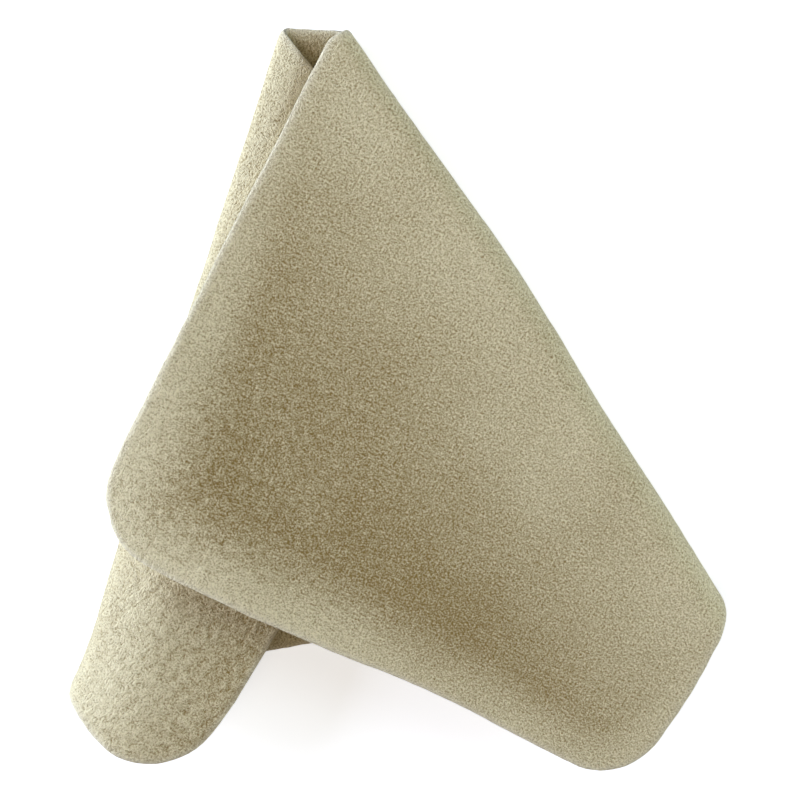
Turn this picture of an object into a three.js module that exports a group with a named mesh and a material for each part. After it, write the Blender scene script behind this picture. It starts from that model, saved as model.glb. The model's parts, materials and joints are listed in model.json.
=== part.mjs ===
// A glasses cleaning cloth: one sheet of chamois leather with rounded corners, folded twice and laid down.
// The sheet is drawn flat, then bent over two folds. Every ruling of a fold runs through one apex on the
// fold's crease line, so the leather bends without stretching. The sheet is parted at the two creases into
// the back panel, which lies on the table, the front panel over it, and the flap tucked between them.
import * as THREE from 'three';

// Leather, in millimetres
const thickness = 0.9;
const cornerRadius = 9.5;

// Flat cut: its width, then lengths along its upper edge, on the y axis, and along its parallel lower edge
const cutWidth = 90;
const frontUpper = 80;
const frontLower = 33;
const backUpper = 7.7;
const backLower = 99.8;
const flapLower = 22.3;

// The upper edge is drawn in where it goes round the right fold, and half as far at the left fold
const edgeDip = 2.6;
const edgeDipRun = 4;

// Place of the flap's hidden corner under the front panel, seen from the right crease's upper end
const hiddenCornerAlong = 46;
const hiddenCornerSetback = 4.8;

// Left fold: inner radius at its upper and lower end, its tight turn, and the wide shoulder at its lower end
const leftInnerUpper = 0.2;
const leftInnerLower = 2.2;
const leftCrownTurn = THREE.MathUtils.degToRad(150);
const leftShoulderWidth = 11;

// Right fold: inner radius at its upper end, a little more than a half turn, then the front panel curls up
// and its far margin, a share of the panel, droops again
const rightInnerUpper = 1.4;
const rightCrownTurn = THREE.MathUtils.degToRad(183);
const frontCurl = THREE.MathUtils.degToRad(14);
const frontDroop = THREE.MathUtils.degToRad(18);
const droopShare = 0.3;

// Clearances: from layer to layer where one lies on the other, and between the panels' ends in a crease
const layerGap = 0.45;
const creaseGap = 0.3;

// Turn of the flat cut on the table, so that its laid position matches the way it is shown
const layTurn = THREE.MathUtils.degToRad(97.8);

// Facets of a round corner, of half a fold's tight turn and of a panel; nearer cuts than a share are left out
const cornerSteps = 8;
const crownSteps = 9;
const panelSteps = 12;
const nearCutShare = 1 / 8;
const tipAngle = 0.001;

// Laying one layer on another: halvings, and the cuts and points that are measured
const settleSteps = 24;
const coverCuts = 160;
const flapCuts = 60;
const flapPoints = 20;
const widestFold = cutWidth / 4;
const leastFlare = 0.1;

const tiny = 1e-6;
const up = new THREE.Vector3(0, 0, 1);
const flatOrigin = new THREE.Vector2();

// Flat positions of the four corners and of the creases' ends
const cornerA = new THREE.Vector2(0, 0);
const cornerB = new THREE.Vector2(cutWidth, 0);
const cornerC = new THREE.Vector2(cutWidth, frontLower + backLower + flapLower);
const rightCrease = {
  upper: new THREE.Vector2(0, frontUpper),
  lower: new THREE.Vector2(cutWidth, frontLower),
  toward: cornerA,
};
const leftCrease = {
  upper: new THREE.Vector2(0, frontUpper + backUpper),
  lower: new THREE.Vector2(cutWidth, frontLower + backLower),
  toward: cornerC,
};

// Unit vectors along a crease, upper to lower end, and across it, towards the leather past the crease
function creaseAxes(crease) {
  const along = crease.lower.clone().sub(crease.upper).normalize();
  const across = new THREE.Vector2(along.y, -along.x);
  const side = across.dot(crease.toward.clone().sub(crease.upper));
  return { along, across: across.multiplyScalar(Math.sign(side)) };
}

// The hidden corner is set on the back panel beside the right crease, then unfolded over the left crease
function hiddenCorner() {
  const right = creaseAxes(rightCrease);
  const left = creaseAxes(leftCrease);
  const laid = rightCrease.upper.clone().addScaledVector(right.along, hiddenCornerAlong);
  laid.addScaledVector(right.across, -hiddenCornerSetback);
  const depth = laid.clone().sub(leftCrease.upper).dot(left.across);
  return laid.addScaledVector(left.across, -2 * depth);
}
const cornerD = hiddenCorner();

// Outline of the cut: straight edges joined by round corners, with a shallow dip at the creases' upper ends
function roundCorner(previous, corner, next) {
  const back = previous.clone().sub(corner).normalize();
  const ahead = next.clone().sub(corner).normalize();
  const half = Math.acos(back.dot(ahead)) / 2;
  const middle = back.clone().add(ahead).normalize();
  const centre = corner.clone().addScaledVector(middle, cornerRadius / Math.sin(half));
  const reach = cornerRadius / Math.tan(half);
  const start = corner.clone().addScaledVector(back, reach).sub(centre);
  const sweep = (Math.PI - 2 * half) * Math.sign(start.cross(corner.clone().sub(centre)));
  return Array.from({ length: cornerSteps + 1 }, (_, step) =>
    start.clone().rotateAround(flatOrigin, sweep * step / cornerSteps).add(centre));
}
const dipStart = new THREE.Vector2(0, frontUpper - edgeDipRun);
const dipDeepest = new THREE.Vector2(edgeDip, frontUpper);
const dipEnd = new THREE.Vector2(edgeDip / 2, frontUpper + backUpper);
const outline = [
  ...roundCorner(dipStart, cornerA, cornerB),
  ...roundCorner(cornerA, cornerB, cornerC),
  ...roundCorner(cornerB, cornerC, cornerD),
  ...roundCorner(cornerC, cornerD, dipEnd),
  dipEnd,
  dipDeepest,
  dipStart,
];

// Flat position on the table: seen from above, the back panel shows the cut from its other face
function laidDown(flat, height = 0) {
  return new THREE.Vector3(-flat.x, flat.y, height).applyAxisAngle(up, layTurn);
}

// One fold: an apex, and a chain of stretches that each turn the rulings about one axis.
// A stretch spans a flat angle at the apex and bends the leather by a given angle on the way.
function makeFold(crease, radiusUpper, radiusLower, crownTurn, later) {
  const { along, across } = creaseAxes(crease);
  const length = crease.upper.distanceTo(crease.lower);
  const apexGap = length * radiusUpper / (radiusLower - radiusUpper);
  const apex = crease.upper.clone().addScaledVector(along, -apexGap);
  const slope = Math.asin(radiusLower / (apexGap + length));
  const toCrease = Math.sin(slope) * Math.PI / 2;
  const sense = Math.sign(along.cross(across));
  const tangent = along.clone().rotateAround(flatOrigin, -sense * toCrease);
  const outward = across.clone().rotateAround(flatOrigin, -sense * toCrease);
  const turnSense = Math.sign(laidDown(tangent).cross(laidDown(outward)).z);
  const stretches = [];
  let ruling = laidDown(tangent);
  let inner = up.clone();
  let start = 0;
  const crown = { span: crownTurn * Math.sin(slope), bend: crownTurn * Math.cos(slope) };
  const begun = { apex, tangent, outward, lowerReach: apexGap + length, crownSpan: crown.span };
  for (const { span, bend } of [crown, ...later(begun)]) {
    const slant = Math.atan2(span, bend);
    const axis = ruling.clone().multiplyScalar(Math.cos(slant)).addScaledVector(inner, Math.sin(slant));
    const turn = turnSense * Math.hypot(span, bend);
    stretches.push({ start, ruling, inner, axis, rate: turn / span });
    ruling = ruling.clone().applyAxisAngle(axis, turn);
    inner = inner.clone().applyAxisAngle(axis, turn);
    start += span;
  }
  return { apex, tangent, outward, toCrease, crownSpan: crown.span, stretches, apexLaid: laidDown(apex) };
}

// Angle of a flat point at the apex of a fold, from the line where the leather leaves the table
function foldAngle(fold, flat) {
  const offset = flat.clone().sub(fold.apex);
  return Math.atan2(offset.dot(fold.outward), offset.dot(fold.tangent));
}

// Ruling of a fold and the normal on the leather's inner face, at a flat angle past the table
function rulingAt(fold, angle) {
  const stretch = fold.stretches.findLast(({ start }) => angle >= start);
  const turn = stretch.rate * (angle - stretch.start);
  const ruling = stretch.ruling.clone().applyAxisAngle(stretch.axis, turn);
  const inner = stretch.inner.clone().applyAxisAngle(stretch.axis, turn);
  return { ruling, inner };
}

// Middle of the leather and its inner normal in space, for a flat point beside or past a fold
function bend(fold, flat) {
  const angle = foldAngle(fold, flat);
  if (angle <= 0) return { place: laidDown(flat), inner: up.clone() };
  const { ruling, inner } = rulingAt(fold, angle);
  const place = fold.apexLaid.clone().addScaledVector(ruling, flat.distanceTo(fold.apex));
  return { place, inner };
}

// Largest flat angle that the cut reaches past a fold
function foldReach(fold) {
  return Math.max(...outline.map((flat) => foldAngle(fold, flat)));
}

// Value nearest to a blocked one, from a clear one, for which a test still holds
function lastClear(clear, blocked, holds) {
  let [good, bad] = [clear, blocked];
  for (let step = 0; step < settleSteps; step += 1) {
    const middle = (good + bad) / 2;
    if (holds(middle)) good = middle;
    else bad = middle;
  }
  return good;
}

function makeLeftFold(shoulderTurn) {
  return makeFold(leftCrease, leftInnerUpper + thickness / 2, leftInnerLower + thickness / 2,
    leftCrownTurn, ({ lowerReach }) => [
      { span: leftShoulderWidth / lowerReach, bend: shoulderTurn },
      { span: Math.PI, bend: 0 },
    ]);
}

function makeRightFold(innerLower) {
  return makeFold(rightCrease, rightInnerUpper + thickness / 2, innerLower + thickness / 2,
    rightCrownTurn, (fold) => {
      const panelSpan = foldReach(fold) - fold.crownSpan;
      return [
        { span: panelSpan * (1 - droopShare), bend: -frontCurl },
        { span: panelSpan * droopShare, bend: frontDroop },
        { span: Math.PI, bend: 0 },
      ];
    });
}

// Least height of the flap past its tight turn, from the middle of the back panel to its own middle
function flapHeight(leftFold) {
  const past = outline.filter((flat) => foldAngle(leftFold, flat) > leftFold.crownSpan);
  return Math.min(...past.map((flat) => bend(leftFold, flat).place.z));
}

// The flap is let down on the back panel: its shoulder turns as far as the flap's lowest corner allows
const layerPitch = thickness + layerGap;
const shoulderTurn = lastClear(0, Math.PI / 2, (turn) => flapHeight(makeLeftFold(turn)) >= layerPitch);
const leftFold = makeLeftFold(shoulderTurn);

// Straight cut across the sheet: both places where a line through a flat point meets the outline
function acrossCut(point, direction) {
  const hits = [];
  outline.forEach((from, index) => {
    const edge = outline[(index + 1) % outline.length].clone().sub(from);
    const turn = direction.cross(edge);
    if (Math.abs(turn) < tiny) return;
    const share = from.clone().sub(point).cross(direction) / turn;
    if (share >= -tiny && share <= 1 + tiny) hits.push(from.clone().addScaledVector(edge, share));
  });
  hits.sort((one, other) => one.clone().sub(other).dot(direction));
  return { near: hits[0], far: hits.at(-1) };
}

// Cut across the sheet beside a crease, with the given distance past it
function besideCrease(crease, distance) {
  const { along, across } = creaseAxes(crease);
  return acrossCut(crease.upper.clone().addScaledVector(across, distance), along);
}

// Rulings of a fold between two flat angles, through every point of the outline there
function rulings(fold, from, to, steps) {
  const angles = Array.from({ length: steps + 1 }, (_, step) => from + (to - from) * step / steps);
  const least = nearCutShare * (to - from) / steps;
  for (const angle of outline.map((flat) => foldAngle(fold, flat))) {
    const inside = angle > from + least && angle < to - least;
    if (inside && angles.every((other) => Math.abs(other - angle) > least)) angles.push(angle);
  }
  angles.sort((one, other) => one - other);
  const sense = Math.sign(fold.tangent.cross(fold.outward));
  return angles.map((angle) =>
    acrossCut(fold.apex, fold.tangent.clone().rotateAround(flatOrigin, sense * angle)));
}

// Least height from the flap up to the front panel that covers it, measured from middle to middle
function layerSpace(rightFold) {
  const across = laidDown(rightFold.outward);
  const along = laidDown(rightFold.tangent);
  const covering = rulings(rightFold, rightFold.crownSpan, foldReach(rightFold), coverCuts);
  const cover = covering.map(({ near, far }) => {
    const { ruling } = rulingAt(rightFold, foldAngle(rightFold, far));
    const plan = Math.hypot(ruling.dot(along), ruling.dot(across));
    const bearing = Math.atan2(-ruling.dot(across), ruling.dot(along));
    const [from, to] = [near, far].map((flat) => flat.distanceTo(rightFold.apex) * plan);
    return { bearing, rise: ruling.z / plan, from, to };
  });
  let least = Infinity;
  for (const { near, far } of rulings(leftFold, leftFold.toCrease, foldReach(leftFold), flapCuts)) {
    for (let step = 0; step <= flapPoints; step += 1) {
      const { place } = bend(leftFold, near.clone().lerp(far, step / flapPoints));
      const offset = place.clone().sub(rightFold.apexLaid);
      const bearing = Math.atan2(-offset.dot(across), offset.dot(along));
      const distance = Math.hypot(offset.dot(along), offset.dot(across));
      const over = cover.find((ruling) => ruling.bearing >= bearing);
      if (!over || distance < over.from || distance > over.to) continue;
      least = Math.min(least, over.rise * distance - place.z);
    }
  }
  return least;
}

// The front panel is let down on the flap: the right fold's lower radius is the least one that clears it
const rightInnerLower = lastClear(widestFold, rightInnerUpper + leastFlare,
  (inner) => layerSpace(makeRightFold(inner)) >= layerPitch);
const rightFold = makeRightFold(rightInnerLower);

// Closed solid of leather over a run of cuts across the sheet, from one panel's end to the other
function leatherBody(cuts, fold) {
  const positions = [];
  const index = [];
  for (const { near, far } of cuts) {
    for (const flat of [near, far]) {
      const { place, inner } = bend(fold(flat), flat);
      positions.push(...place.clone().addScaledVector(inner, -thickness / 2).toArray());
      positions.push(...place.clone().addScaledVector(inner, thickness / 2).toArray());
    }
  }
  const quad = (a, b, c, d) => index.push(a, b, c, a, c, d);
  for (let cut = 0; cut < cuts.length - 1; cut += 1) {
    const here = 4 * cut;
    const next = here + 4;
    quad(here, here + 2, next + 2, next);
    quad(here + 1, next + 1, next + 3, here + 3);
    quad(here, next, next + 1, here + 1);
    quad(here + 2, here + 3, next + 3, next + 2);
  }
  const last = 4 * (cuts.length - 1);
  quad(0, 1, 3, 2);
  quad(last, last + 2, last + 3, last + 1);
  const geometry = new THREE.BufferGeometry();
  geometry.setAttribute('position', new THREE.Float32BufferAttribute(positions, 3));
  geometry.setIndex(index);
  return facingOut(geometry);
}

// Turns every face over if the body's signed volume is negative
function facingOut(geometry) {
  const place = geometry.attributes.position;
  const corner = [0, 1, 2].map(() => new THREE.Vector3());
  const order = Array.from(geometry.index.array);
  let volume = 0;
  for (let face = 0; face < order.length; face += 3) {
    corner.forEach((vector, turn) => vector.fromBufferAttribute(place, order[face + turn]));
    volume += corner[0].dot(corner[1].cross(corner[2]));
  }
  if (volume < 0) geometry.setIndex(order.reverse());
  geometry.computeVertexNormals();
  return geometry;
}

// Chamois leather, buff, with a raised nap
const chamois = new THREE.MeshStandardMaterial({ color: 0xb9ad86, roughness: 0.95, metalness: 0 });

function panel(name, cuts, fold) {
  const mesh = new THREE.Mesh(leatherBody(cuts, fold), chamois);
  mesh.name = name;
  return mesh;
}

// A panel past a fold: half of the crown, then the rest out to its far corner
function pastFold(crease, fold) {
  const crown = rulings(fold, fold.toCrease, fold.crownSpan, crownSteps).slice(1);
  const rest = rulings(fold, fold.crownSpan, foldReach(fold) - tipAngle, panelSteps).slice(1);
  return [besideCrease(crease, creaseGap / 2), ...crown, ...rest];
}

// The back panel: flat on the table, with the first half of each crown at its sides
function betweenFolds() {
  const right = rulings(rightFold, 0, rightFold.toCrease, crownSteps).slice(0, -1);
  const left = rulings(leftFold, 0, leftFold.toCrease, crownSteps).slice(0, -1);
  return [
    besideCrease(rightCrease, -creaseGap / 2),
    ...right.reverse(),
    ...left,
    besideCrease(leftCrease, -creaseGap / 2),
  ];
}

// The fold that bends a flat point of the back panel
function nearerFold(flat) {
  return foldAngle(rightFold, flat) > 0 ? rightFold : leftFold;
}

const cloth = new THREE.Group();
cloth.add(panel('back_panel', betweenFolds(), nearerFold));
cloth.add(panel('front_panel', pastFold(rightCrease, rightFold), () => rightFold));
cloth.add(panel('inner_flap', pastFold(leftCrease, leftFold), () => leftFold));

// Origin at the middle of the cloth's box, on the table
const box = new THREE.Box3().setFromObject(cloth);
const middle = box.getCenter(new THREE.Vector3());
cloth.position.set(-middle.x, -middle.y, -box.min.z);

export default cloth;
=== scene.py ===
"""Dresses the glasses cleaning cloth: one sheet of chamois leather, folded twice and laid on a table."""
import json
import math

import bpy
import numpy as np
from mathutils import Euler, Matrix, Vector, noise


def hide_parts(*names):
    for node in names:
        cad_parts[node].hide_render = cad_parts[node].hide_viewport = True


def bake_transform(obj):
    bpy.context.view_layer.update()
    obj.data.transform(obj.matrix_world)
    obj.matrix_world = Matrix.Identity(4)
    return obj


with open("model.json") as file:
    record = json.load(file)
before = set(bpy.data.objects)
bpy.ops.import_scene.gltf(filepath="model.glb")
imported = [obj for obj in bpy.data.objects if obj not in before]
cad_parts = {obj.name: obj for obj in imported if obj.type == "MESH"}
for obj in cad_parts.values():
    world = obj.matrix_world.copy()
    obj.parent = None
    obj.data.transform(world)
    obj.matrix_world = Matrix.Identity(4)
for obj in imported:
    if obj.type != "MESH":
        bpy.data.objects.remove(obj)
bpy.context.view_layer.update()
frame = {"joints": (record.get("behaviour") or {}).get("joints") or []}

MM = 0.001

# Leather, in millimetres
THICKNESS = 0.9
CORNER_RADIUS = 9.5

# Flat cut: its width, then the length of each panel along the upper edge and along the lower edge
CUT_WIDTH = 90.0
FRONT_UPPER = 80.0
FRONT_LOWER = 33.0
BACK_UPPER = 7.7
BACK_LOWER = 99.8
FLAP_LOWER = 22.3
# How deep the upper edge dips at the right crease, and how far before it the dip starts
EDGE_DIP = 2.6
EDGE_DIP_RUN = 4.0
# The flap's corner when folded: how far down the right crease it lies, and how far short of it
HIDDEN_CORNER_ALONG = 46.0
HIDDEN_CORNER_SETBACK = 4.8

# Folds: inner radii at the upper and lower end, and the turns of the leather
LEFT_INNER_UPPER = 0.2
LEFT_INNER_LOWER = 2.2
LEFT_CROWN_TURN = math.radians(150)
LEFT_SHOULDER_WIDTH = 11.0
LEFT_SHOULDER_TURN = math.radians(33.584)
RIGHT_INNER_UPPER = 1.4
RIGHT_INNER_LOWER = 3.322
RIGHT_CROWN_TURN = math.radians(183)
FRONT_CURL = math.radians(14)
FRONT_DROOP = math.radians(18)
DROOP_SHARE = 0.3
LAY_TURN = math.radians(97.8)

# Grain of the mesh, in millimetres and counts
POINT_PITCH = 0.62
CROWN_CUTS = 26
SHOULDER_CUTS = 16
CORNER_STEPS = 24
TIP_ANGLE = 0.0015
# Cuts fan out from a fold's apex: they are a pitch apart at this share of the way to the crease's lower end
FAN_SHARE = 0.75
# Cuts across the back, as a share of the points that would fit along its lower edge
BACK_SHARE = 0.62
# Distances of the points next to a cut edge, drawn closer where a cut is shorter than so many ladders
EDGE_LADDER = (0.0, 0.06, 0.16, 0.32, 0.54, 0.9)
LEAST_LADDERS = 6

# Where a line meets the outline: the least turn divided by, and how far past an edge's end is still a hit
LEAST_TURN = 1e-9
END_MARGIN = 1e-6

# Pared cut edge: how far in it is rounded, the share of the thickness left at its rim, and the rim's width
EDGE_ROUND = 0.8
EDGE_RIM_SHARE = 0.35
RIM_BAND = 0.7
# How far the knife wavered along the cut, in heights of the nap
EDGE_WAVER = 1.6

# Pulls that bow the straight folds and edges as limp leather does: place, reach and shift, in millimetres
PULLS = (
    ((16.0, 20.5), 24.0, (1.15, 0.75)),
    ((38.0, -12.5), 14.0, (0.40, 0.25)),
    ((-45.4, -31.8), 13.0, (1.10, -0.30)),
    ((-42.9, -13.8), 8.0, (0.70, 0.0)),
    ((4.8, -42.4), 15.0, (0.35, 0.80)),
    ((44.5, -40.5), 8.0, (0.70, -0.40)),
    ((-45.4, -47.3), 6.0, (-0.60, -0.50)),
    ((-23.3, -42.2), 9.0, (0.60, -0.35)),
)

# Uneven nap raised in the mesh: size of the lumps and their height, in millimetres
NAP_LUMPS = ((11.0, 0.10), (3.2, 0.045), (1.4, 0.045))
# Where the lumps are taken from in the noise: for each face, and for the waver in x and in y.
# The last is the step from one size of lumps to the next
OUTER_SEED = 3.1
INNER_SEED = 41.7
WAVER_SEEDS = (17.3, 29.9)
SEED_STEP = 7.3

# Where the nap is long: how far from the front's free corner, and how soon past the left crease
LONG_NAP_REACH = 55.0
LONG_NAP_RISE = 6.0

# Painted light beside the creases, and paler nap along the cut edge: how far each reaches from its crease and
# from the cut edge, and how strong it is by the left crease and by the edge
RIGHT_LIGHT_REACH = 34.0
LEFT_LIGHT_REACH = 16.0
EDGE_PALE_REACH = 9.0
LEFT_LIGHT = 1.1
EDGE_PALE = 1.0

# The map of the flat cut that patterns follow: the two faces lie side by side on it
MAP_SPAN = 190.0
INNER_FACE_SHIFT = 0.5

# Fibres of the nap, in radians and millimetres, several times coarser than real ones so that they show
FIBRE_TURNS = (0.35, 1.4, 2.45)
FIBRE_WIDTH = 0.18
FIBRE_LENGTH = 1.8
FIBRE_CURL = 1.1
# Depth of the nap, in millimetres
NAP_DEPTH = 0.29

# Patterns in the nap: size in millimetres, detail and roughness
TONE = (24.0, 4.0, 0.6)
CLUMP = (1.2, 1.0, 0.6)
SUEDE = (0.31, 1.0, 1.0)
CURL = (1.8, 1.0, 0.5)
# Middle strength of the clumps, taken off so that they sink as well as rise
CLUMP_MIDDLE = 0.5

# How far fibres, clumps and tufts stand up in short nap, and how much further in long nap,
# as shares of the nap's depth
FIBRE_RISE = (0.05, 0.03)
CLUMP_RISE = (0.1, 0.35)
TUFT_RISE = (0.2, 0.55)
# Strengths of the strand pattern between which a fibre comes to cover the suede
FIBRE_COVER = (0.58, 0.74)

# What random tone, the painted light beside the creases with the paler cut edge, and long nap, partly painted
# light, add to the shade, and the shades at which the nap is deepest and palest
TONE_SHARE = 0.2
CREASE_LIGHT_AND_EDGE_SHARE = 0.28
LONG_NAP_AND_LIGHT_SHARE = 0.13
SHADE_RANGE = (0.62, 1.02)
# How much of the rim's colour shows at the cut edge: a paler cut edge and partly a painted highlight
RIM_SHARE = 0.4
# Colours of the leather: the deep colour also stands for painted shade in the pits, the pale one for painted
# light beside the creases, and the rim's is partly a painted highlight
NAP_DEEP_AND_SHADED = "#897037"
NAP_PALE_AND_LIT = "#E8DDB4"
RIM_PALE_AND_HIGHLIGHT = "#EBE4CB"
SHEEN_TINT = "#F2F4EA"

# Slopes of planes through the hinges, which the script works out but does not use further.
# The flap's plane slopes down inwards, so that it runs between the back panel and the flap
FRONT_ZONE_SLOPE = 0.0
FLAP_ZONE_SLOPE = 0.01

# Camera: where the photograph was taken from
VIEW_TARGET = Vector((-0.11, 1.20, 0.45)) * MM
VIEW_DISTANCE = 250 * MM
VIEW_TILT = 0.235
VIEW_SIDE = 0.087
LENS = 78.3
CLIP_START = 0.01

# Lamps: place and size in metres, power in watts, and colour
LAMPS = (
    ("window", (-0.60, 0.18, 0.18), (0.45, 0.20), 6.1, "#D8E2FF"),
    ("low_window", (-0.62, 0.16, 0.035), (0.40, 0.06), 1.3, "#CFEEFF"),
    ("second_window", (0.58, 0.12, 0.25), (0.40, 0.30), 3.5, "#DCEEFF"),
    ("room", (-0.15, -0.10, 0.75), (0.60, 0.60), 1.45, "#FFEEE0"),
)
SKY_COLOUR = "#FFEDD2"
SKY_STRENGTH = 0.10

# Floor: size in metres, gap under the cloth in millimetres so that no faces coincide,
# colour, and glow that only the camera sees
FLOOR_SIZE = 6
FLOOR_GAP = 0.05
FLOOR_COLOUR = "#E8E8E5"
FLOOR_GLOW = 0.58


def unit(vector):
    return vector / np.linalg.norm(vector)


def cross_flat(one, other):
    return one[0] * other[1] - one[1] * other[0]


def turned_flat(vector, angle):
    cosine, sine = math.cos(angle), math.sin(angle)
    return np.array([cosine * vector[0] - sine * vector[1], sine * vector[0] + cosine * vector[1]])


def turned(vectors, axis, angle):
    """Vectors turned about a unit axis, each by its own angle."""
    cosine, sine = np.cos(angle)[:, None], np.sin(angle)[:, None]
    along = np.outer(vectors @ axis, axis)
    return vectors * cosine + np.cross(axis, vectors) * sine + along * (1 - cosine)


class Crease:
    """A straight crease in the flat cut, with unit vectors along it and across it, past the crease."""

    def __init__(self, upper, lower, toward):
        self.upper = np.array(upper)
        self.lower = np.array(lower)
        self.along = unit(self.lower - self.upper)
        across = np.array([self.along[1], -self.along[0]])
        self.across = across * np.sign(across @ (np.array(toward) - self.upper))

    def past(self, flat):
        """How far flat points lie past the crease."""
        return (flat - self.upper) @ self.across


corner_a = np.array([0.0, 0.0])
corner_b = np.array([CUT_WIDTH, 0.0])
corner_c = np.array([CUT_WIDTH, FRONT_LOWER + BACK_LOWER + FLAP_LOWER])
right_crease = Crease((0.0, FRONT_UPPER), (CUT_WIDTH, FRONT_LOWER), corner_a)
left_crease = Crease((0.0, FRONT_UPPER + BACK_UPPER), (CUT_WIDTH, FRONT_LOWER + BACK_LOWER), corner_c)


def hidden_corner():
    """The flap's corner under the front panel, unfolded over the left crease."""
    laid = right_crease.upper + HIDDEN_CORNER_ALONG * right_crease.along
    laid = laid - HIDDEN_CORNER_SETBACK * right_crease.across
    return laid - 2 * left_crease.past(laid) * left_crease.across


def round_corner(previous, corner, following):
    """Points of the arc that rounds a corner of the cut."""
    back, ahead = unit(previous - corner), unit(following - corner)
    half = math.acos(back @ ahead) / 2
    centre = corner + unit(back + ahead) * CORNER_RADIUS / math.sin(half)
    start = corner + back * CORNER_RADIUS / math.tan(half) - centre
    sweep = (math.pi - 2 * half) * np.sign(cross_flat(start, corner - centre))
    return [centre + turned_flat(start, sweep * step / CORNER_STEPS) for step in range(CORNER_STEPS + 1)]


def cut_outline():
    """The edge of the flat cut, with its rounded corners and the dip at the right crease."""
    corner_d = hidden_corner()
    dip_start = np.array([0.0, FRONT_UPPER - EDGE_DIP_RUN])
    dip_deepest = np.array([EDGE_DIP, FRONT_UPPER])
    dip_end = np.array([EDGE_DIP / 2, FRONT_UPPER + BACK_UPPER])
    return np.array([
        *round_corner(dip_start, corner_a, corner_b),
        *round_corner(corner_a, corner_b, corner_c),
        *round_corner(corner_b, corner_c, corner_d),
        *round_corner(corner_c, corner_d, dip_end),
        dip_end,
        dip_deepest,
        dip_start,
    ])


outline = cut_outline()
outline_next = np.roll(outline, -1, axis=0)


def laid_down(flat):
    """Flat points on the table: the back panel shows the cut from its other face."""
    flat = np.atleast_2d(flat)
    x, y = turned_flat((-flat[:, 0], flat[:, 1]), LAY_TURN)
    return np.column_stack([x, y, np.zeros(len(flat))])


def across_cut(point, direction):
    """Both places where a line through a flat point meets the outline."""
    edge = outline_next - outline
    turn = cross_flat(direction, edge.T)
    turn = np.where(np.abs(turn) < LEAST_TURN, LEAST_TURN, turn)
    share = cross_flat((outline - point).T, direction) / turn
    inside = (share >= -END_MARGIN) & (share <= 1 + END_MARGIN)
    hits = outline[inside] + edge[inside] * share[inside, None]
    order = np.argsort(hits @ direction)
    return hits[order[0]], hits[order[-1]]


class Fold:
    """A fold whose rulings meet in an apex on the crease line, in stretches that each turn about one axis."""

    def __init__(self, crease, inner_upper, inner_lower, crown_turn):
        self.crease = crease
        upper = inner_upper + THICKNESS / 2
        lower = inner_lower + THICKNESS / 2
        length = np.linalg.norm(crease.lower - crease.upper)
        gap = length * upper / (lower - upper)
        self.lower_reach = gap + length
        self.apex = crease.upper - gap * crease.along
        slope = math.asin(lower / self.lower_reach)
        self.to_crease = math.sin(slope) * math.pi / 2
        self.sense = np.sign(cross_flat(crease.along, crease.across))
        self.tangent = turned_flat(crease.along, -self.sense * self.to_crease)
        self.outward = turned_flat(crease.across, -self.sense * self.to_crease)
        self.apex_laid = laid_down(self.apex)[0]
        self.ruling = laid_down(self.tangent)[0]
        self.inner = np.array([0.0, 0.0, 1.0])
        self.turn_sense = np.sign(np.cross(self.ruling, laid_down(self.outward)[0])[2])
        self.stretches = []
        self.reached = 0.0
        self.crown_span = crown_turn * math.sin(slope)
        self.add_stretch(self.crown_span, crown_turn * math.cos(slope))

    def add_stretch(self, span, bend):
        """Adds leather that spans an angle at the apex and bends by another while it does."""
        slant = math.atan2(span, bend)
        axis = self.ruling * math.cos(slant) + self.inner * math.sin(slant)
        turn = self.turn_sense * math.hypot(span, bend)
        self.stretches.append((self.reached, self.ruling, self.inner, axis, turn / span))
        end = turned(np.array([self.ruling, self.inner]), axis, np.array([turn, turn]))
        self.ruling, self.inner = end
        self.reached += span

    def angle(self, flat):
        """Angle of flat points at the apex, from the line where the leather leaves the table."""
        offset = np.atleast_2d(flat) - self.apex
        return np.arctan2(offset @ self.outward, offset @ self.tangent)

    def reach(self):
        return self.angle(outline).max()

    def bend(self, flat):
        """Middle of the leather and its inner normal in space, for flat points beside or past the fold."""
        flat = np.atleast_2d(flat)
        angle = self.angle(flat)
        place = laid_down(flat)
        inner = np.tile((0.0, 0.0, 1.0), (len(flat), 1))
        distance = np.linalg.norm(flat - self.apex, axis=1)
        ends = [stretch[0] for stretch in self.stretches[1:]] + [math.inf]
        for (start, ruling, normal, axis, rate), end in zip(self.stretches, ends):
            here = (angle > start) & (angle <= end)
            turn = rate * (angle[here] - start)
            count = int(here.sum())
            rulings = turned(np.tile(ruling, (count, 1)), axis, turn)
            place[here] = self.apex_laid + rulings * distance[here, None]
            inner[here] = turned(np.tile(normal, (count, 1)), axis, turn)
        return place, inner

    def cut(self, angle):
        """Both ends of the ruling at an angle."""
        return across_cut(self.apex, turned_flat(self.tangent, self.sense * angle))


right_fold = Fold(right_crease, RIGHT_INNER_UPPER, RIGHT_INNER_LOWER, RIGHT_CROWN_TURN)
panel_span = right_fold.reach() - right_fold.crown_span
right_fold.add_stretch(panel_span * (1 - DROOP_SHARE), -FRONT_CURL)
right_fold.add_stretch(panel_span * DROOP_SHARE, FRONT_DROOP)
right_fold.add_stretch(math.pi, 0.0)
left_fold = Fold(left_crease, LEFT_INNER_UPPER, LEFT_INNER_LOWER, LEFT_CROWN_TURN)
shoulder_span = LEFT_SHOULDER_WIDTH / left_fold.lower_reach
left_fold.add_stretch(shoulder_span, LEFT_SHOULDER_TURN)
left_fold.add_stretch(math.pi, 0.0)


def crease_ends(fold):
    """The crease's two ends on the outer face of its fold, in the laid frame."""
    near, far = across_cut(fold.crease.upper, fold.crease.along)
    place, inner = fold.bend(np.array([near, far]))
    return place - inner * THICKNESS / 2


joints = {joint["name"]: joint for joint in frame["joints"]}
hinge = np.array(joints["front_fold"]["pos_m"]) / MM
to_frame = hinge - crease_ends(right_fold).mean(axis=0)


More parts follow.
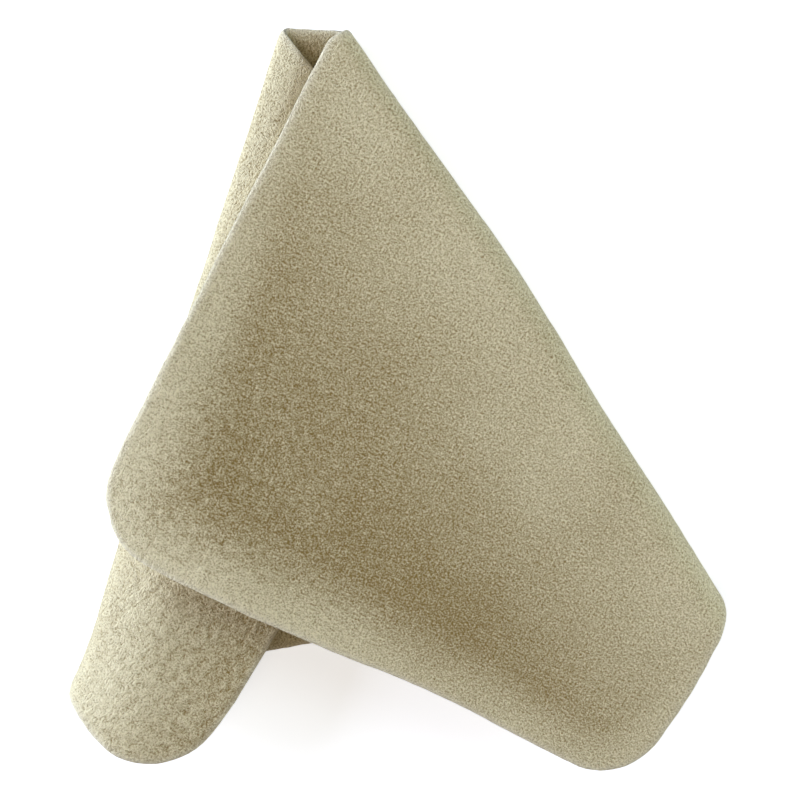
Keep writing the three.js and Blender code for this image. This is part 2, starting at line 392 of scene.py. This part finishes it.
def edge_distance(flat):
    """Distance of flat points from the cut edge."""
    least = np.full(len(flat), np.inf)
    for start, end in zip(outline, outline_next):
        edge = end - start
        length = edge @ edge
        share = np.clip((flat - start) @ edge / length, 0, 1) if length else np.zeros(len(flat))
        gap = flat - start - share[:, None] * edge
        least = np.minimum(least, np.hypot(gap[:, 0], gap[:, 1]))
    return least


def lump_height(flat, seed):
    """Height of the uneven nap over flat points, in millimetres."""
    height = np.zeros(len(flat))
    for size, rise in NAP_LUMPS:
        height += [rise * noise.noise((u / size, v / size, seed)) for u, v in flat]
        seed += SEED_STEP
    return height


def nap_length(flat):
    """Where the nap is left long: about the front's free corner and over the flap, from 0 to 1. It also pales
    the colour there, partly as painted light.
    """
    by_corner = 1 - np.linalg.norm(flat - corner_a, axis=1) / LONG_NAP_REACH
    by_left = left_crease.past(flat) / LONG_NAP_RISE
    return np.clip(np.maximum(by_corner, by_left), 0, 1)


def painted_light_and_pale_edge(flat, depth):
    """Painted light beside both creases, and paler nap along the cut edge, except the flap's."""
    past_left = left_crease.past(flat)
    right_light = np.exp(-(right_crease.past(flat) / RIGHT_LIGHT_REACH) ** 2)
    by_left = LEFT_LIGHT * np.exp(-(past_left / LEFT_LIGHT_REACH) ** 2)
    by_edge = np.where(past_left < 0, EDGE_PALE * np.exp(-(depth / EDGE_PALE_REACH) ** 2), 0)
    return np.maximum(np.maximum(right_light, by_left), by_edge)


def cut_points(near, far, count):
    """Points along a cut, close together at both edges."""
    length = np.linalg.norm(far - near)
    ladder = np.array(EDGE_LADDER) * min(1.0, length / (LEAST_LADDERS * EDGE_LADDER[-1]))
    steps = np.linspace(ladder[-1], length - ladder[-1], count)
    along = np.concatenate([ladder[:-1], steps, length - ladder[-2::-1]])
    return near + np.outer(along / length, far - near)


def pulled(points):
    """Points moved in the plane by all the pulls, each fading with distance."""
    moved = points.copy()
    for place, reach, shift in PULLS:
        away = np.linalg.norm(points[:, :2] - place, axis=1)
        moved[:, :2] += np.outer(np.exp(-(away / reach) ** 2), shift)
    return moved


def leather_points(flat, fold, depth, rim_share):
    """Points of the outer face, then of the inner face, in metres, for flat points and their depth."""
    place, inner = fold.bend(flat)
    for axis, seed in enumerate(WAVER_SEEDS):
        place[:, axis] += EDGE_WAVER * rim_share * lump_height(flat, seed)
    rise = np.sqrt(1 - (1 - np.clip(depth / EDGE_ROUND, 0, 1)) ** 2)
    half = THICKNESS / 2 * (EDGE_RIM_SHARE + (1 - EDGE_RIM_SHARE) * rise)
    outer_face = place - inner * (half + rise * lump_height(flat, OUTER_SEED))[:, None]
    inner_face = place + inner * (half + rise * lump_height(flat, INNER_SEED))[:, None]
    points = pulled(np.concatenate([outer_face, inner_face]) + to_frame) * MM
    # The table flattens the nap under the cloth
    points[:, 2] = np.maximum(points[:, 2], 0)
    return points


def leather_faces(rows, width):
    """Faces of a closed sheet: two grids of rows by width, then the four strips between them."""
    count = rows * width
    faces = []
    for row in range(rows - 1):
        for step in range(width - 1):
            a = row * width + step
            b, c, d = a + 1, a + width + 1, a + width
            faces.append((a, b, c, d))
            faces.append((d + count, c + count, b + count, a + count))
    last = count - width
    for step in range(width - 1):
        end = last + step
        faces.append((step + 1, step, step + count, step + 1 + count))
        faces.append((end, end + 1, end + 1 + count, end + count))
    for row in range(rows - 1):
        near = row * width
        far = near + width - 1
        faces.append((near, near + width, near + width + count, near + count))
        faces.append((far + width, far, far + count, far + width + count))
    return faces


def leather_area(cuts):
    """Area of the flat leather between the first cut and the last."""
    area = 0.0
    for (near, far), (next_near, next_far) in zip(cuts, cuts[1:]):
        area += abs(cross_flat(next_far - near, next_near - far)) / 2
    return area


def leather_mesh(name, cuts, fold):
    """A closed piece of the sheet over a run of cuts, its flat size and area. The first cut is a seam."""
    longest = max(np.linalg.norm(far - near) for near, far in cuts)
    rows = [cut_points(near, far, round(longest / POINT_PITCH)) for near, far in cuts]
    width = len(rows[0])
    flat = np.concatenate(rows)
    count = len(flat)
    depth = edge_distance(flat)
    rim_share = np.exp(-(depth / RIM_BAND) ** 2)

    mesh = bpy.data.meshes.new(name)
    points = leather_points(flat, fold, depth, rim_share)
    mesh.from_pydata(points.tolist(), [], leather_faces(len(rows), width))
    piece = bpy.data.objects.new(name, mesh)
    bpy.context.collection.objects.link(piece)
    bpy.ops.object.select_all(action="DESELECT")
    bpy.context.view_layer.objects.active = piece
    piece.select_set(True)
    bpy.ops.object.mode_set(mode="EDIT")
    bpy.ops.mesh.select_all(action="SELECT")
    bpy.ops.mesh.normals_make_consistent(inside=False)
    bpy.ops.object.mode_set(mode="OBJECT")
    bpy.ops.object.shade_smooth()

    face_map = np.concatenate([flat / MAP_SPAN, flat / MAP_SPAN + (INNER_FACE_SHIFT, 0)])
    corners = np.empty(len(mesh.loops), int)
    mesh.loops.foreach_get("vertex_index", corners)
    mesh.uv_layers.new(name="cut").data.foreach_set("uv", face_map[corners].ravel())
    # Shares on the points: the cut rim, the long nap, and the painted light beside the creases with the paler
    # cut edge
    shares = {"cut_rim": rim_share, "long_nap": nap_length(flat), "painted_light_and_pale_edge": painted_light_and_pale_edge(flat, depth)}
    for key, share in shares.items():
        mesh.attributes.new(key, "FLOAT", "POINT").data.foreach_set("value", np.tile(share, 2))

    seam = {frozenset((start + step, start + step + 1)) for step in range(width - 1) for start in (0, count)}
    sharp = mesh.attributes.new("sharp_edge", "BOOLEAN", "EDGE")
    sharp.data.foreach_set("value", [frozenset(edge.vertices) in seam for edge in mesh.edges])

    flat_size = (CUT_WIDTH * MM, float(np.ptp(flat[:, 1])) * MM)
    return piece, flat_size, float(leather_area(cuts)) * MM * MM


def spread(start, end, pitch):
    return np.linspace(start, end, max(2, round((end - start) / pitch) + 1))


def front_cuts():
    """From where the leather leaves the table, round the right fold and out to the front's far corner."""
    pitch = POINT_PITCH / (FAN_SHARE * right_fold.lower_reach)
    crown = np.linspace(0, right_fold.crown_span, CROWN_CUTS)
    panel = spread(right_fold.crown_span, right_fold.reach() - TIP_ANGLE, pitch)
    return [right_fold.cut(angle) for angle in [*crown, *panel[1:]]]


def back_cuts():
    """Across the back panel from the right fold, round the left fold and out to the flap's far corner."""
    pitch = POINT_PITCH / (FAN_SHARE * left_fold.lower_reach)
    first, last = right_fold.cut(0.0), left_fold.cut(0.0)
    steps = round(BACK_SHARE * np.linalg.norm(last[1] - first[1]) / POINT_PITCH)
    lying = [tuple(a + (b - a) * step / steps for a, b in zip(first, last)) for step in range(steps)]
    shoulder = left_fold.crown_span + shoulder_span
    crown = np.linspace(0, left_fold.crown_span, CROWN_CUTS)
    rounded = np.linspace(left_fold.crown_span, shoulder, SHOULDER_CUTS)
    panel = spread(shoulder, left_fold.reach() - TIP_ANGLE, pitch)
    return lying + [left_fold.cut(angle) for angle in [*crown, *rounded[1:], *panel[1:]]]


def srgb(code):
    """Linear colour of an sRGB hex value."""
    parts = [int(code[i:i + 2], 16) / 255 for i in (1, 3, 5)]
    return [p / 12.92 if p <= 0.04045 else ((p + 0.055) / 1.055) ** 2.4 for p in parts] + [1.0]


def add_node(tree, kind, settings=None, links=None):
    """A shader node with its settings, and links from other sockets to its inputs."""
    node = tree.nodes.new(kind)
    for key, value in (settings or {}).items():
        if isinstance(key, str) and hasattr(node, key):
            setattr(node, key, value)
        else:
            node.inputs[key].default_value = value
    for key, socket in (links or {}).items():
        tree.links.new(socket, node.inputs[key])
    return node


def chamois_leather():
    """Chamois leather, split and buffed on both faces: a matt buff suede with paler curly fibres on it."""
    material = bpy.data.materials.new("chamois_leather")
    material.use_nodes = True
    tree = material.node_tree
    tree.nodes.clear()
    flat_map = add_node(tree, "ShaderNodeUVMap", {"uv_map": "cut"}).outputs["UV"]
    # Attributes: long nap, cut rim, and painted light beside the creases with the paler cut edge
    long_nap, rim, painted_light_and_edge = [
        add_node(tree, "ShaderNodeAttribute", {"attribute_name": name}).outputs["Fac"]
        for name in ("long_nap", "cut_rim", "painted_light_and_pale_edge")
    ]
    tone, clump, suede, curl = [
        add_node(
            tree, "ShaderNodeTexNoise",
            {"Scale": MAP_SPAN / size, "Detail": detail, "Roughness": roughness},
            {"Vector": flat_map},
        )
        for size, detail, roughness in (TONE, CLUMP, SUEDE, CURL)
    ]

    # Strands laid in several directions on a map that the curl has bent
    curled = add_node(
        tree, "ShaderNodeVectorMath",
        {"operation": "MULTIPLY_ADD", 1: [FIBRE_CURL / MAP_SPAN] * 3},
        {0: curl.outputs["Color"], 2: flat_map},
    )
    fibres = None
    for turn in FIBRE_TURNS:
        laid = add_node(tree, "ShaderNodeMapping", {
            "vector_type": "TEXTURE",
            "Location": (turn, turn, 0),
            "Rotation": (0, 0, turn),
            "Scale": (FIBRE_WIDTH / MAP_SPAN, FIBRE_LENGTH / MAP_SPAN, 1),
        }, {"Vector": curled.outputs[0]})
        strand = add_node(
            tree, "ShaderNodeTexNoise",
            {"Scale": 1.0, "Detail": 1.0},
            {"Vector": laid.outputs[0]},
        ).outputs["Fac"]
        if fibres is None:
            fibres = strand
        else:
            fibres = add_node(
                tree, "ShaderNodeMath",
                {"operation": "MAXIMUM"},
                {0: fibres, 1: strand},
            ).outputs[0]
    fibre_cover = add_node(
        tree, "ShaderNodeMapRange",
        {"interpolation_type": "SMOOTHSTEP", 1: FIBRE_COVER[0], 2: FIBRE_COVER[1]},
        {0: fibres},
    ).outputs[0]

    # Height of the nap: suede, with clumps and fibres that stand up further where the nap is long
    fibre_rise, clump_rise, tuft_rise = [
        add_node(
            tree, "ShaderNodeMath",
            {"operation": "MULTIPLY_ADD", 1: further, 2: least},
            {0: long_nap},
        ).outputs[0]
        for least, further in (FIBRE_RISE, CLUMP_RISE, TUFT_RISE)
    ]
    clump_even = add_node(
        tree, "ShaderNodeMath",
        {"operation": "SUBTRACT", 1: CLUMP_MIDDLE},
        {0: clump.outputs["Fac"]},
    ).outputs[0]
    height = suede.outputs["Fac"]
    for pattern, rise in ((clump_even, clump_rise), (fibre_cover, fibre_rise)):
        height = add_node(
            tree, "ShaderNodeMath",
            {"operation": "MULTIPLY_ADD"},
            {0: pattern, 1: rise, 2: height},
        ).outputs[0]

    # Colour: darker in the nap's pits, which is painted shade, and paler where it stands up; painted light
    # beside the creases; paler along the cut edge; paler where the nap is long, partly painted light; and a
    # pale cut rim, partly a painted highlight
    shade = height
    for pattern, share in ((tone.outputs["Fac"], TONE_SHARE), (painted_light_and_edge, CREASE_LIGHT_AND_EDGE_SHARE), (long_nap, LONG_NAP_AND_LIGHT_SHARE)):
        shade = add_node(
            tree, "ShaderNodeMath",
            {"operation": "MULTIPLY_ADD", 1: share},
            {0: pattern, 2: shade},
        ).outputs[0]
    light_share = add_node(
        tree, "ShaderNodeMapRange",
        {1: SHADE_RANGE[0], 2: SHADE_RANGE[1]},
        {0: shade},
    ).outputs[0]
    # Mixed from deep to pale: painted shade in the pits and painted light beside the creases, as well as the
    # nap's own tone
    nap = add_node(
        tree, "ShaderNodeMix",
        {"data_type": "RGBA", 6: srgb(NAP_DEEP_AND_SHADED), 7: srgb(NAP_PALE_AND_LIT)},
        {0: light_share},
    ).outputs[2]
    # Pale cut rim, partly a painted highlight
    rim_share = add_node(tree, "ShaderNodeMath", {"operation": "MULTIPLY", 1: RIM_SHARE}, {0: rim}).outputs[0]
    rim_highlighted = add_node(
        tree, "ShaderNodeMix",
        {"data_type": "RGBA", 7: srgb(RIM_PALE_AND_HIGHLIGHT)},
        {0: rim_share, 6: nap},
    ).outputs[2]

    # Tufts show by their shadows only
    tufted = add_node(
        tree, "ShaderNodeMath",
        {"operation": "MULTIPLY_ADD"},
        {0: clump_even, 1: tuft_rise, 2: height},
    ).outputs[0]
    bump = add_node(
        tree, "ShaderNodeBump",
        {"Strength": 1.0, "Distance": NAP_DEPTH * MM},
        {"Height": tufted},
    )
    shader = add_node(tree, "ShaderNodeBsdfPrincipled", {
        "Roughness": 0.95, "IOR": 1.5, "Specular IOR Level": 0.15,
        "Sheen Weight": 0.5, "Sheen Roughness": 0.5, "Sheen Tint": srgb(SHEEN_TINT),
    }, {"Base Color": rim_highlighted, "Normal": bump.outputs["Normal"]})
    add_node(tree, "ShaderNodeOutputMaterial", {}, {"Surface": shader.outputs[0]})
    return material


def add_camera():
    camera = bpy.data.objects.new("camera", bpy.data.cameras.new("camera"))
    camera.data.lens = LENS
    camera.data.clip_start = CLIP_START
    turn = Euler((-VIEW_TILT, -VIEW_SIDE, 0.0), "YXZ").to_matrix()
    place = VIEW_TARGET + turn @ Vector((0, 0, VIEW_DISTANCE))
    camera.matrix_world = Matrix.Translation(place) @ turn.to_4x4()
    bpy.context.collection.objects.link(camera)
    bpy.context.scene.camera = camera


def add_lamp(name, place, size, power, colour):
    """A soft lamp aimed at the cloth."""
    lamp = bpy.data.lights.new(name, "AREA")
    lamp.shape = "RECTANGLE"
    lamp.size, lamp.size_y = size
    lamp.energy = power
    lamp.color = srgb(colour)[:3]
    holder = bpy.data.objects.new(name, lamp)
    holder.location = Vector(place)
    holder.rotation_euler = Vector(place).to_track_quat("Z", "Y").to_euler()
    bpy.context.collection.objects.link(holder)


def add_studio():
    """Pale floor that the camera sees as white, cool lamps at the sides, a warm one above, an even sky."""
    bpy.ops.mesh.primitive_plane_add(size=FLOOR_SIZE, location=(0, 0, -FLOOR_GAP * MM))
    floor = bpy.context.active_object
    floor.name = "floor"
    paint = bpy.data.materials.new("pale_floor_paint")
    paint.use_nodes = True
    tree = paint.node_tree
    seen = add_node(tree, "ShaderNodeLightPath").outputs["Is Camera Ray"]
    glow = add_node(tree, "ShaderNodeMath", {"operation": "MULTIPLY", 1: FLOOR_GLOW}, {0: seen})
    shader = tree.nodes["Principled BSDF"]
    shader.inputs["Base Color"].default_value = srgb(FLOOR_COLOUR)
    shader.inputs["Roughness"].default_value = 0.9
    shader.inputs["Specular IOR Level"].default_value = 0.1
    shader.inputs["Emission Color"].default_value = srgb("#FFFFFF")
    tree.links.new(glow.outputs[0], shader.inputs["Emission Strength"])
    floor.data.materials.append(paint)
    for lamp in LAMPS:
        add_lamp(*lamp)
    world = bpy.data.worlds.new("sky")
    world.use_nodes = True
    sky = world.node_tree.nodes["Background"]
    sky.inputs["Color"].default_value = srgb(SKY_COLOUR)
    sky.inputs["Strength"].default_value = SKY_STRENGTH
    bpy.context.scene.world = world


def bend_at(piece, fold, joint, slope):
    """Works out a plane through the hinge at a crease that slopes down inwards, which nothing uses, and bakes
    the piece's transform.
    """
    along = Vector(joints[joint]["axis"]).normalized()
    inward = fold.bend(fold.cut(fold.to_crease)[0])[1][0]
    across = Vector(inward) + Vector((0, 0, -slope))
    upward = along.cross(across).normalized()
    upward *= math.copysign(1, upward.z)
    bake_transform(piece)


bpy.context.scene.view_settings.view_transform = "Standard"
add_camera()
add_studio()

leather = chamois_leather()
cloth_front, front_flat, front_area = leather_mesh("cloth_front", front_cuts(), right_fold)
cloth_back, back_flat, back_area = leather_mesh("cloth_back", back_cuts(), left_fold)
for piece in (cloth_front, cloth_back):
    piece.data.materials.append(leather)

bend_at(cloth_front, right_fold, "front_fold", FRONT_ZONE_SLOPE)
bend_at(cloth_back, left_fold, "flap_fold", FLAP_ZONE_SLOPE)
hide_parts("front_panel")
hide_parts("back_panel", "inner_flap")
